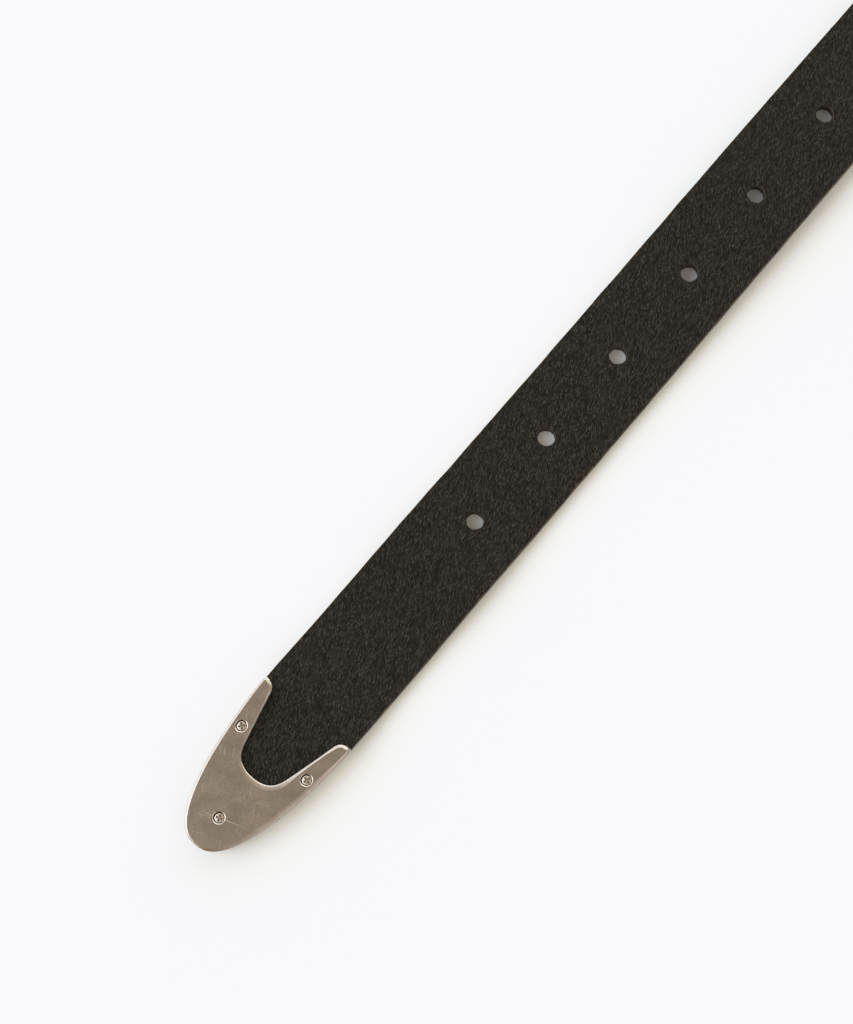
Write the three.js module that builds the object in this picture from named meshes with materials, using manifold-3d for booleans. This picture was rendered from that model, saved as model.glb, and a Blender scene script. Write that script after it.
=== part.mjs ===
// A western belt, lying open and straight with its napped back up, as a three.js scene graph.
// Millimetres, +Z up. The strap runs along X, with the metal tip at the low end and the buckle at the
// high end. Places along the belt are written as u, the distance from the nose of the tip.

import * as THREE from "three";
import { mergeVertices } from "three/addons/utils/BufferGeometryUtils.js";
import Module from "manifold-3d";

const wasm = await Module();
wasm.setup();

// Driving dimensions

const GAP = 0.3; // clearance between neighbouring pieces
const REACH = 40; // how far a cutter runs past what it cuts
const SAME = 1e-3; // points nearer than this are one
const QUARTER = Math.PI / 2; // of a turn

// How finely rounds are faceted
const facets = {
  nose: 20,
  corner: 8,
  screw: 20,
  hole: 24,
  stretch: 12, // of the strap between two rest heights
  fold: 14,
  flap: 16,
  bar: 20,
  edge: 3, // across a rounded edge of the frame
  prong: 12,
};

const strap = {
  width: 30,
  thickness: 2.8,
  holeRadius: 2.4,
  // Punched by hand, a little unevenly, one about every 31 mm
  holes: [
    { u: 113.8, y: 0 },
    { u: 144.5, y: 0.2 },
    { u: 175.2, y: 0 },
    { u: 206.4, y: -0.2 },
    { u: 236.2, y: 0 },
    { u: 267.6, y: 0.1 },
    { u: 298.3, y: 0 },
  ],
  waist: 850.6, // from the buckle's bar to the middle hole
  flapLength: 55, // what is turned back round the bar
  flapCloses: 24, // where the flap comes down onto the strap, from the bar
  flapCorner: 5,
  slotWidth: 5.4,
  slotReach: 9, // how far the prong's slot runs back from the bar
};

const tip = {
  length: 44, // of the rounded nose, up to where the sides run straight
  fullnessAlong: 1.71, // powers of the nose's rounded outline: 2 and 2 would be an ellipse
  fullnessAcross: 2.46,
  plate: 1.0,
  rim: 1.0,
  bevel: 0.6,
  bevelDrop: 0.5,
  mouth: 22.8, // nose to the bottom of the U
  mouthHandle: 5, // how full the round bottom is across
  mouthShoulder: { u: 28.5, y: 7.4 }, // where the round bottom runs into the straight side
  shoulderHandle: 3.2, // how full it is beside the shoulder
  mouthFlare: THREE.MathUtils.degToRad(14.4),
  hornEnd: 45,
  hornInner: 42.2, // where a horn's end starts to round off, on the U's side
  hornBend: 0.6,
  hornCorner: 1,
};

const screw = {
  headRadius: 1.35,
  headRim: 0.2,
  headCone: 0.35,
  sunk: 0.1,
  shankRadius: 0.7,
  shankLength: 2.3,
  recessLength: 1.7,
  recessWidth: 0.4,
  recessDepth: 0.3,
  ringRadius: 1.95, // the bright countersunk ring in the plate
  places: [
    { name: "tip_screw_nose", u: 9.3, y: -0.3, turn: 20 },
    { name: "tip_screw_left", u: 31.1, y: 11.2, turn: 50 },
    { name: "tip_screw_right", u: 31.5, y: -11.2, turn: 75 },
  ],
};

const buckle = {
  reach: 26, // from the bar's axis to the middle of the front crossbar
  halfWidth: 22.5,
  railWidth: 6,
  thickness: 4.2,
  edge: 1.4, // how far in the rail's edges are rounded
  behindBar: 2.6,
  frontCorner: 12,
  heelCorner: 4,
  railEndCorner: 2, // beside the strap, at the heel
  barRadius: 2,
  barHeight: 5.6,
  prongWidth: 4,
  prongThickness: 2.4,
  prongEnd: 1.2, // how far the prong runs past the middle of the crossbar
};

const keeper = {
  wall: 1.8,
  width: 12,
  sideRoom: 0.6,
  freeHeight: 5.9, // room above the flap for the tip to pass
  fromBar: 38, // to the keeper's far side
  outerCorner: 3,
  innerCorner: 0.6,
};

// How high the strap's underside lies above the table, level at each row and smooth in between
const restHeights = [
  { u: 0, height: tip.plate + GAP },
  { u: 46, height: tip.plate + GAP },
  { u: 64, height: 0 },
  { u: 78, height: 0 },
  { u: 109, height: 1 },
  { u: 143, height: 0 },
  { u: 154, height: 0 },
  { u: 256, height: 2.75 },
  { u: 390, height: 0 },
  { u: 960, height: 0 },
  { u: 1008, height: keeper.wall + GAP },
  { u: 1034, height: keeper.wall + GAP },
];

// Worked-out places

const middleHole = strap.holes[(strap.holes.length - 1) / 2];
const barPlace = middleHole.u + strap.waist;
const loopRadius = buckle.barRadius + GAP + strap.thickness / 2; // of the leather's middle round the bar
const tipHeight = 2 * (tip.plate + GAP) + strap.thickness;
const loopBottom = buckle.barHeight - loopRadius - strap.thickness / 2;
restHeights.push({ u: barPlace, height: loopBottom });
const buckleFront = buckle.reach + buckle.railWidth / 2;
// The flat frame slopes from its bar, held up by the strap, down to its front edge on the table
const buckleTilt = Math.asin((buckle.barHeight - buckle.thickness / 2) / (buckleFront - buckle.edge));

// Solids and booleans

function toSolid(geometry) {
  const bare = geometry.clone();
  bare.deleteAttribute("normal");
  bare.deleteAttribute("uv");
  const merged = mergeVertices(bare, SAME / 10);
  const mesh = new wasm.Mesh({
    numProp: 3,
    vertProperties: merged.attributes.position.array,
    triVerts: new Uint32Array(merged.index.array),
  });
  return new wasm.Manifold(mesh);
}

function toGeometry(solid) {
  const mesh = solid.getMesh();
  const geometry = new THREE.BufferGeometry();
  geometry.setAttribute("position", new THREE.BufferAttribute(mesh.vertProperties, 3));
  geometry.setIndex(new THREE.BufferAttribute(mesh.triVerts, 1));
  geometry.computeVertexNormals();
  return geometry;
}

// A plan outline in X and Y, raised from one height to another
function prism(shape, low, high, curveSegments = facets.nose) {
  const geometry = new THREE.ExtrudeGeometry(shape, {
    depth: high - low,
    bevelEnabled: false,
    curveSegments,
  });
  geometry.translate(0, 0, low);
  return toSolid(geometry);
}

function boxBetween(low, high) {
  const size = [0, 1, 2].map((i) => high[i] - low[i]);
  const middle = [0, 1, 2].map((i) => (high[i] + low[i]) / 2);
  const geometry = new THREE.BoxGeometry(...size);
  geometry.translate(...middle);
  return toSolid(geometry);
}

// A round solid on a vertical axis at u and y, from a profile of radius and height
function turned(profile, u, y, segments = facets.screw) {
  const points = profile.map((row) => new THREE.Vector2(row.radius, row.height));
  const geometry = new THREE.LatheGeometry(points, segments);
  geometry.rotateX(QUARTER);
  geometry.translate(u, y, 0);
  return toSolid(geometry);
}

function cylinder(radius, low, high, u, y, segments) {
  const profile = [
    { radius: 0, height: low },
    { radius, height: low },
    { radius, height: high },
    { radius: 0, height: high },
  ];
  return turned(profile, u, y, segments);
}

// Strap

const smooth = (t) => t * t * (3 - 2 * t);

function undersideHeight(u) {
  const next = restHeights.findIndex((row) => row.u >= u);
  if (next <= 0) return restHeights[0].height;
  const a = restHeights[next - 1];
  const b = restHeights[next];
  return THREE.MathUtils.lerp(a.height, b.height, smooth((u - a.u) / (b.u - a.u)));
}

// The middle of the leather seen from the side: nose to bar, round the bar, and back along the flap
function strapMiddle() {
  const points = [];
  const add = (u, z) => points.push(new THREE.Vector2(u, z));
  const start = tip.rim + GAP;
  const middleHeight = (u) => undersideHeight(u) + strap.thickness / 2;
  add(start, middleHeight(start));
  for (let i = 1; i < restHeights.length; i++) {
    const a = Math.max(restHeights[i - 1].u, start);
    const b = restHeights[i].u;
    const level = restHeights[i - 1].height === restHeights[i].height;
    const steps = level ? 1 : facets.stretch;
    for (let k = 1; k <= steps; k++) {
      const u = THREE.MathUtils.lerp(a, b, k / steps);
      add(u, middleHeight(u));
    }
  }
  for (let k = 1; k <= facets.fold; k++) {
    const angle = -QUARTER + (Math.PI * k) / facets.fold;
    add(barPlace + loopRadius * Math.cos(angle), buckle.barHeight + loopRadius * Math.sin(angle));
  }
  for (let k = 1; k <= facets.flap; k++) {
    const back = (strap.flapLength * k) / facets.flap;
    const u = barPlace - back;
    const resting = middleHeight(u) + strap.thickness + GAP;
    const closing = smooth(Math.min(back / strap.flapCloses, 1));
    add(u, THREE.MathUtils.lerp(buckle.barHeight + loopRadius, resting, closing));
  }
  return points;
}

// The strap seen from the side, as a ribbon of even thickness about its middle
function ribbonShape(middle, thickness) {
  const left = [];
  const right = [];
  middle.forEach((point, i) => {
    const before = middle[Math.max(i - 1, 0)];
    const after = middle[Math.min(i + 1, middle.length - 1)];
    const along = after.clone().sub(before).normalize();
    const across = new THREE.Vector2(-along.y, along.x).multiplyScalar(thickness / 2);
    left.push(point.clone().add(across));
    right.push(point.clone().sub(across));
  });
  return new THREE.Shape([...right, ...left.reverse()]);
}

// The nose in plan, from one side of the belt round to the other and carried on straight along both
// sides: an ellipse with its own powers along and across. inset draws it in evenly.
function noseOutline(shape, inset, straightTo) {
  const halfWidth = strap.width / 2 - inset;
  const reach = tip.length - inset;
  const steps = 2 * facets.nose;
  shape.moveTo(straightTo, -halfWidth);
  for (let k = 0; k <= steps; k++) {
    const angle = -QUARTER + (Math.PI * k) / steps;
    const along = Math.cos(angle) ** (2 / tip.fullnessAlong);
    const across = Math.sign(angle) * Math.abs(Math.sin(angle)) ** (2 / tip.fullnessAcross);
    shape.lineTo(tip.length - reach * along, halfWidth * across);
  }
  shape.lineTo(straightTo, halfWidth);
  return shape;
}

// An outline as plain points, with those that fall on one another dropped
function plainPoints(outline, curveSegments) {
  const points = [];
  for (const point of outline.getPoints(curveSegments)) {
    if (points.every((kept) => kept.distanceTo(point) > SAME)) points.push(point);
  }
  return points;
}

function makeStrap() {
  const ribbon = new THREE.ExtrudeGeometry(ribbonShape(strapMiddle(), strap.thickness), {
    depth: strap.width,
    bevelEnabled: false,
  });
  ribbon.rotateX(QUARTER);
  ribbon.translate(0, strap.width / 2, 0);
  let solid = toSolid(ribbon);

  const shoulder = tip.hornEnd + GAP;
  const inTip = noseOutline(new THREE.Shape(), tip.rim + GAP, shoulder + GAP);
  const beyondTip = boxBetween(
    [shoulder, -strap.width, -REACH],
    [barPlace + REACH, strap.width, REACH],
  );
  solid = solid.intersect(prism(inTip, -REACH, REACH).add(beyondTip));

  for (const hole of strap.holes) {
    const punch = cylinder(strap.holeRadius, -REACH, REACH, hole.u, hole.y, facets.hole);
    solid = solid.subtract(punch);
  }
  for (const place of screw.places) {
    const low = tipHeight - screw.sunk - screw.shankLength - GAP;
    const radius = screw.shankRadius + GAP;
    solid = solid.subtract(cylinder(radius, low, REACH, place.u, place.y, facets.screw));
  }
  const slot = boxBetween(
    [barPlace - strap.slotReach, -strap.slotWidth / 2, -REACH],
    [barPlace + REACH, strap.slotWidth / 2, REACH],
  );
  return solid.subtract(slot).subtract(flapCorners());
}

// What is cut off the flap's two corners to round them
function flapCorners() {
  const end = barPlace - strap.flapLength;
  const top = undersideHeight(end) + strap.thickness + GAP / 2;
  const radius = strap.flapCorner;
  const half = strap.width / 2;
  const corner = (side) => {
    const shape = new THREE.Shape();
    shape.moveTo(end, side * (half - radius));
    shape.absarc(
      end + radius,
      side * (half - radius),
      radius,
      Math.PI,
      (side * Math.PI) / 2,
      side > 0,
    );
    shape.lineTo(end + radius, side * (half + radius));
    shape.lineTo(end - radius, side * (half + radius));
    shape.lineTo(end - radius, side * (half - radius));
    return prism(shape, top, REACH, facets.corner);
  };
  return corner(1).add(corner(-1));
}

// Tip

// The tip in plan, a horseshoe: the nose's outline outside, the U with its flared sides inside
function tipOutline() {
  const shape = new THREE.Shape();
  const flare = tip.mouthFlare;
  const corner = tip.hornCorner;
  const cornerU = tip.hornEnd - corner;
  const cornerY = strap.width / 2 - corner;
  const shoulder = tip.mouthShoulder;
  const innerY = shoulder.y + (tip.hornInner - shoulder.u) * Math.tan(flare);
  const bend = { u: tip.hornEnd, y: innerY + tip.hornBend };
  const handle = {
    u: shoulder.u - tip.shoulderHandle * Math.cos(flare),
    y: shoulder.y - tip.shoulderHandle * Math.sin(flare),
  };
  noseOutline(shape, 0, cornerU);
  shape.absarc(cornerU, cornerY, corner, QUARTER, 0, true);
  shape.quadraticCurveTo(bend.u, bend.y, tip.hornInner, innerY);
  shape.lineTo(shoulder.u, shoulder.y);
  shape.bezierCurveTo(handle.u, handle.y, tip.mouth, tip.mouthHandle, tip.mouth, 0);
  shape.bezierCurveTo(tip.mouth, -tip.mouthHandle, handle.u, -handle.y, shoulder.u, -shoulder.y);
  shape.lineTo(tip.hornInner, -innerY);
  shape.quadraticCurveTo(bend.u, -bend.y, tip.hornEnd, -cornerY);
  shape.absarc(cornerU, -cornerY, corner, 0, -QUARTER, true);
  return shape;
}

function makeTip() {
  const outline = plainPoints(tipOutline(), facets.nose);
  const body = new THREE.ExtrudeGeometry(new THREE.Shape(outline), {
    depth: tipHeight - 2 * tip.bevelDrop,
    bevelEnabled: true,
    bevelThickness: tip.bevelDrop,
    bevelSize: tip.bevel,
    bevelOffset: -tip.bevel,
    bevelSegments: 2,
  });
  body.translate(0, 0, tip.bevelDrop);
  const pocketShape = noseOutline(new THREE.Shape(), tip.rim, tip.hornEnd + REACH);
  const pocket = prism(pocketShape, tip.plate, tipHeight - tip.plate);
  let solid = toSolid(body).subtract(pocket);
  for (const place of screw.places) solid = solid.subtract(countersink(place));
  return solid;
}

function countersink(place) {
  const wide = screw.headRadius + GAP;
  const narrow = screw.shankRadius + GAP;
  const seatTop = tipHeight - screw.sunk - screw.headRim - GAP;
  const profile = [
    { radius: 0, height: tipHeight - tip.plate - GAP },
    { radius: narrow, height: tipHeight - tip.plate - GAP },
    { radius: narrow, height: seatTop - screw.headCone },
    { radius: wide, height: seatTop },
    { radius: wide, height: tipHeight - screw.sunk - GAP },
    { radius: screw.ringRadius, height: tipHeight },
    { radius: screw.ringRadius, height: tipHeight + GAP },
    { radius: 0, height: tipHeight + GAP },
  ];
  return turned(profile, place.u, place.y);
}

// A screw standing on its own axis, with the top of its head at height zero
function makeScrew() {
  const neck = -screw.headRim - screw.headCone;
  const profile = [
    { radius: 0, height: -screw.shankLength },
    { radius: screw.shankRadius, height: -screw.shankLength },
    { radius: screw.shankRadius, height: neck },
    { radius: screw.headRadius, height: -screw.headRim },
    { radius: screw.headRadius, height: 0 },
    { radius: 0, height: 0 },
  ];
  let solid = turned(profile, 0, 0);
  const long = screw.recessLength / 2;
  const narrow = screw.recessWidth / 2;
  for (const [x, y] of [[long, narrow], [narrow, long]]) {
    const arm = boxBetween([-x, -y, -screw.recessDepth], [x, y, screw.recessDepth]);
    solid = solid.subtract(arm);
  }
  return solid;
}

// Keeper

function roundedRectangle(path, low, high, radius) {
  const arc = (x, y, from) => {
    path.absarc(x, y, radius, from * QUARTER, (from + 1) * QUARTER, false);
  };
  path.moveTo(low.x + radius, low.y);
  arc(high.x - radius, low.y + radius, 3);
  arc(high.x - radius, high.y - radius, 0);
  arc(low.x + radius, high.y - radius, 1);
  arc(low.x + radius, low.y + radius, 2);
  return path;
}

// The keeper's band, standing on the table with its near face at zero along the belt
function makeKeeper() {
  const { wall, innerCorner, outerCorner } = keeper;
  const half = strap.width / 2 + keeper.sideRoom;
  const flapTop = wall + 2 * (GAP + strap.thickness);
  const ceiling = flapTop + keeper.freeHeight;
  const outer = roundedRectangle(
    new THREE.Shape(),
    { x: -half - wall, y: 0 },
    { x: half + wall, y: ceiling + wall },
    outerCorner,
  );
  const inner = roundedRectangle(
    new THREE.Path(),
    { x: -half, y: wall },
    { x: half, y: ceiling },
    innerCorner,
  );
  outer.holes.push(inner);
  const band = new THREE.ExtrudeGeometry(outer, {
    depth: keeper.width,
    bevelEnabled: false,
    curveSegments: facets.corner,
  });
  band.rotateX(QUARTER);
  band.rotateZ(QUARTER);
  return toSolid(band);
}

// Buckle, modelled flat with its bar's axis at zero

// A flat rounded frame, open at the heel, where the round bar joins the ends of its rails
function makeFrame() {
  const { railWidth, behindBar, edge, thickness, frontCorner, heelCorner, railEndCorner } = buckle;
  const half = buckle.halfWidth;
  const inside = half - railWidth;
  const windowCorner = frontCorner - railWidth;
  const plan = new THREE.Path();
  const arc = (x, y, radius, from, by) => {
    plan.absarc(x, y, radius, from * QUARTER, (from + by) * QUARTER, by < 0);
  };
  arc(heelCorner - behindBar, heelCorner - half, heelCorner, 2, 1);
  arc(buckleFront - frontCorner, frontCorner - half, frontCorner, 3, 1);
  arc(buckleFront - frontCorner, half - frontCorner, frontCorner, 0, 1);
  arc(heelCorner - behindBar, half - heelCorner, heelCorner, 1, 1);
  arc(railEndCorner - behindBar, inside + railEndCorner, railEndCorner, 2, 1);
  arc(buckleFront - frontCorner, inside - windowCorner, windowCorner, 1, -1);
  arc(buckleFront - frontCorner, windowCorner - inside, windowCorner, 0, -1);
  arc(railEndCorner - behindBar, -inside - railEndCorner, railEndCorner, 1, 1);
  const rails = new THREE.ExtrudeGeometry(new THREE.Shape(plainPoints(plan, facets.corner)), {
    depth: thickness - 2 * edge,
    bevelEnabled: true,
    bevelThickness: edge,
    bevelSize: edge,
    bevelOffset: -edge,
    bevelSegments: facets.edge,
  });
  rails.translate(0, 0, edge - thickness / 2);
  const bar = new THREE.CylinderGeometry(
    buckle.barRadius,
    buckle.barRadius,
    2 * half - railWidth,
    facets.bar,
  );
  return toSolid(rails).add(toSolid(bar));
}

// The prong leaves the bar and ends in a notch in the crossbar's lower side, flush with it
function makeProng() {
  const end = buckle.reach + buckle.prongEnd;
  const low = (buckle.prongThickness - buckle.thickness) / 2;
  const middle = [];
  for (let k = 0; k <= facets.prong; k++) {
    const t = k / facets.prong;
    middle.push(new THREE.Vector2(end * t, low * smooth(t)));
  }
  const side = new THREE.ExtrudeGeometry(ribbonShape(middle, buckle.prongThickness), {
    depth: buckle.prongWidth,
    bevelEnabled: false,
  });
  side.rotateX(QUARTER);
  side.translate(0, buckle.prongWidth / 2, 0);
  return toSolid(side);
}

function makeBuckle() {
  const half = buckle.prongWidth / 2 + GAP;
  const end = buckle.reach + buckle.prongEnd + GAP;
  const ceiling = buckle.prongThickness - buckle.thickness / 2 + GAP;
  const notch = boxBetween(
    [buckle.reach - buckle.railWidth, -half, -buckle.thickness],
    [end, half, ceiling],
  );
  return makeFrame().subtract(notch).add(makeProng());
}

// Scene graph

const blackNap = new THREE.MeshStandardMaterial({ color: 0x2b2926, roughness: 0.85, metalness: 0 });
const blackLeather = new THREE.MeshStandardMaterial({ color: 0x201e1c, roughness: 0.6, metalness: 0 });
const satinNickel = new THREE.MeshStandardMaterial({ color: 0xa79b8c, roughness: 0.4, metalness: 1 });
const brightNickel = new THREE.MeshStandardMaterial({ color: 0xc9c0b4, roughness: 0.25, metalness: 1 });

const belt = new THREE.Group();

// Adds a piece modelled about its own origin, at u and y along and across the belt
function place(name, solid, material, { u = 0, y = 0, height = 0 } = {}) {
  const mesh = new THREE.Mesh(toGeometry(solid), material);
  mesh.name = name;
  mesh.position.set(u, y, height);
  belt.add(mesh);
  return mesh;
}

place("strap", makeStrap(), blackNap);
place("tip", makeTip(), satinNickel);
for (const { name, u, y, turn } of screw.places) {
  const mesh = place(name, makeScrew(), brightNickel, { u, y, height: tipHeight - screw.sunk });
  mesh.rotation.z = THREE.MathUtils.degToRad(turn);
}
place("keeper", makeKeeper(), blackLeather, { u: barPlace - keeper.fromBar });
const clasp = place("buckle", makeBuckle(), satinNickel, { u: barPlace, height: buckle.barHeight });
clasp.rotation.y = buckleTilt;

// The origin lies on the table under the middle of the whole belt
const extent = new THREE.Box3().setFromObject(belt, true);
belt.position.x = -(extent.min.x + extent.max.x) / 2;

export default belt;
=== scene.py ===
import math

import bmesh
import bpy
from mathutils import Matrix, Vector, noise
from mathutils.geometry import interpolate_bezier, intersect_point_line


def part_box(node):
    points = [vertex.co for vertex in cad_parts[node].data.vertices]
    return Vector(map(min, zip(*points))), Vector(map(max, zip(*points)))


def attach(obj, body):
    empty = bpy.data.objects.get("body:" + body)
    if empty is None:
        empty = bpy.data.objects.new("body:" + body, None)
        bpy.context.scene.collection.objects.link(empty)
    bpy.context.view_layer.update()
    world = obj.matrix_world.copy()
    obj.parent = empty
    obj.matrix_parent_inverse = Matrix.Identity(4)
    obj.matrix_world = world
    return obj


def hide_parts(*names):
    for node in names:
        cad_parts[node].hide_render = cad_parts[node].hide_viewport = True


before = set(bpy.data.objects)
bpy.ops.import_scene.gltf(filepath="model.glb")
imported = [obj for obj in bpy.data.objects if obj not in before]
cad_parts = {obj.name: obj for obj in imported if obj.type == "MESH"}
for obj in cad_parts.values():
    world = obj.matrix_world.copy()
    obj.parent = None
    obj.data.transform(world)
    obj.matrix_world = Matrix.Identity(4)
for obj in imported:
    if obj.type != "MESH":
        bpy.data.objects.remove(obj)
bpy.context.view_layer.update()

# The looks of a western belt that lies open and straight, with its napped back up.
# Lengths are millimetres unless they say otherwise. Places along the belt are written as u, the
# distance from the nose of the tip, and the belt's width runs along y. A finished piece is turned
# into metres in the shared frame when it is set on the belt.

MM = 0.001
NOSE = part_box("tip")[0].x  # where u is zero, in metres
TO_FRAME = Matrix.Translation((NOSE, 0, 0)) @ Matrix.Scale(MM, 4)
QUARTER = math.pi / 2

# The strap
WIDTH = 30
THICK = 2.8
HOLES = (  # u and y of each punched hole
    (113.8, 0), (144.5, 0.2), (175.2, 0), (206.4, -0.2), (236.2, 0), (267.6, 0.1), (298.3, 0),
)
HOLE_RADIUS = 2.4
HOLE_STRAYS = 0.14  # how far a hole's torn rim strays from round
EDGE_STRAYS = 0.12  # how far the cut sides stray from straight
GRAZING = 0.5  # no cut across the strap comes nearer than this to a hole's end
NAP_RIM, NAP_DROP = 0.16, 0.14  # width and drop of the worn arris round the nap side
GRAIN_RIM, GRAIN_DROP = 0.25, 0.2  # and round the grain side
BAR = 1057  # the buckle's bar
BAR_HEIGHT = 5.6
LOOP = 3.7  # radius of the leather's middle round the bar
FOLD = math.pi * LOOP  # leather taken up by the fold
FLAP = 55
FLAP_CORNER = 5
FLAP_CLOSES = 24  # from the bar to where the flap comes to lie along the strap
FLAP_END = BAR + FOLD + FLAP
APART = 0.3  # between the flap and the strap, and between the strap's nose and the tip's walls
SLOT_WIDTH = 5.4
SLOT_REACH = 9  # how far the prong's slot runs on past the fold, at both ends
# u and how high the underside lies above the table there, level at each place and smooth in between
LIFTS = (
    (0, 1.3), (46, 1.3), (64, 0), (78, 0), (98, 1.1), (127, 0), (154, 0),
    (256, 2.75), (390, 0), (960, 0), (1008, 2.1), (1034, 2.1), (BAR, 0.5),
)

# The keeper and the stitches
KEEPER_THICK = 1.8
KEEPER_CORNER = 2.6
KEEPER_ROUND = 0.45  # of its arrises
SEAM_HALF, SEAM_DEEP = 0.25, 0.35  # the groove between its butted ends
CREASE_IN = 1.6  # from the keeper's edge to its crease
CREASE_HALF = 0.3
CREASE_DEEP = 0.14
# Keeps the keeper's pattern off the strap's middle and its faces, so that its edge is dyed all over
KEEPER_ASIDE = Vector((0, 40, -20))
STITCH_PITCH = 3.5
STITCH_OUT = 12  # from the strap's middle to its rows of stitches
STITCH_ROWS = (1034.5, 1005.5)  # the rows across, beside the bar and at the flap's end
STITCH_SIDES = (1007.5, 1017.5)  # from and to where the rows along both sides run
THREAD_RADIUS = 0.5
STITCH_SHAPE = (2.8, 0.85, 0.8)  # half a stitch's length, width and height, in thread radii
STITCH_LEAN = 6  # degrees by which it lies aslant of its row
STITCH_PROUD = 0.08  # how far its middle stands out of the leather

# The tip
TIP_LENGTH = 44  # from the nose to where its sides run straight
TIP_HEIGHT = 5.4
TIP_SHEET = 1.0
TIP_ROUND = 0.5
TIP_SLOPE = 0.7  # how far the round of its top edges is flattened to a slope
TIP_LEAN = (0.99, 0.982, 1)  # the outline of the back plate, as a share of that of the front
NOSE_POWERS = (1.71, 2.46)  # of the nose's round, along and across, where an ellipse has 2 and 2
MOUTH_BOTTOM = 22.8  # where the U's bottom lies
MOUTH_FLARE = math.radians(14.4)  # of the U's straight sides
HORN_END = 45
WALL_END = 14  # how far out the walls of the horns end
SCREWS = (  # name, u, y and the turn of the cross in degrees
    ("tip_screw_nose", 9.3, -0.3, 20),
    ("tip_screw_left", 31.1, 11.2, 50),
    ("tip_screw_right", 31.5, -11.3, 75),
)
SCREW_TOP = 5.3  # height of the rim of a head's face
HEAD_RADIUS = 1.25
HEAD_FACE = HEAD_RADIUS - 0.15  # radius of its domed face
HEAD_CROWN = 0.06
HEAD_ASIDE = 0.12  # how far to the right of its well a head sits
RECESS_REACH = 0.92  # from the cross's middle to the end of an arm
RECESS_HALF = 0.2  # half an arm's width
RECESS_DEEP = 0.45
RECESS_TAPER = 0.6
# Radius and height of each ring below the face: the head's rounded rim, its cone and the shank
SCREW_RINGS = (
    (HEAD_RADIUS - 0.04, -0.05), (HEAD_RADIUS, -0.15), (HEAD_RADIUS, -0.22),
    (0.7, -0.6), (0.7, -2.3),
)
WELL_RADIUS = 1.52  # of the hole a screw's head sits in
RING_RADIUS = 1.78  # of the countersunk ring round it
RING_DROP = 0.19  # from the tip's top to the ring's low edge
WELL_DEEP = 0.6  # and to the well's floor

# The buckle
RAIL_WIDTH = 6
RAIL_THICK = 4.2
RAIL_ROUND = 1.4
RAIL_END_ROUND = 1.2
BUCKLE_HALF = 22.5  # half its width
BUCKLE_FRONT = 29  # from the bar's axis to the front edge
BUCKLE_CORNER = 12
BUCKLE_TILT = math.radians(7.3)  # it leans forward, so that its crossbar rests on the table
BAR_RADIUS = 2
BEHIND_BAR = 2.6  # how far the rails run past the bar
PRONG_WIDTH = 4
PRONG_THICK = 2.4
PRONG_END = 27.2  # from the bar's axis
PRONG_ROUND = 0.8
PRONG_TAPER = 0.8  # its width and thickness at the end, as a share of those at the bar
EYE_RADIUS = 3.2
EYE_ROUND = 0.5
NOTCH_HALF = 2.3
NOTCH_FLANK = 0.3
NOTCH_SHORT = 1.3  # how far short of the buckle's front edge it stops
NOTCH_CEILING = 0.6

# Stands a section that was drawn flat upright, across the belt
UPRIGHT = Matrix(((0, 0, 1), (1, 0, 0), (0, 1, 0)))


def smooth(t):
    """Eases from 0 to 1 as t does"""
    t = min(max(t, 0), 1)
    return t * t * (3 - 2 * t)


def mix(a, b, t):
    """From a to b as t goes from 0 to 1"""
    return a + (b - a) * t


# Materials


def hex_colour(code):
    """An sRGB hex colour turned to linear"""
    parts = [int(code[i : i + 2], 16) / 255 for i in (1, 3, 5)]
    return [c / 12.92 if c <= 0.04045 else ((c + 0.055) / 1.055) ** 2.4 for c in parts] + [1]


def add(tree, kind, inputs=None, **settings):
    """Adds a node with its settings. An input is given a value, or linked where it is a socket."""
    node = tree.nodes.new("ShaderNode" + kind)
    for name, value in settings.items():
        setattr(node, name, value)
    for key, value in (inputs or {}).items():
        if isinstance(value, bpy.types.NodeSocket):
            tree.links.new(value, node.inputs[key])
        else:
            node.inputs[key].default_value = value
    return node


def finish_of(name, **plain):
    """A new material, its shader with the plain values set, and its node tree"""
    material = bpy.data.materials.new(name)
    material.use_nodes = True
    tree = material.node_tree
    shader = tree.nodes["Principled BSDF"]
    for key, value in plain.items():
        shader.inputs[key.replace("_", " ")].default_value = value
    return material, shader, tree


def belt_millimetres(tree):
    """Object coordinates, which are metres in the shared frame, as millimetres"""
    metres = add(tree, "TexCoord").outputs["Object"]
    return add(tree, "VectorMath", {0: metres, "Scale": 1 / MM}, operation="SCALE").outputs[0]


def flat_millimetres(tree):
    """Where each spot of the strap lay before the leather was bent"""
    return add(tree, "Attribute", attribute_name="flat").outputs["Vector"]


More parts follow.
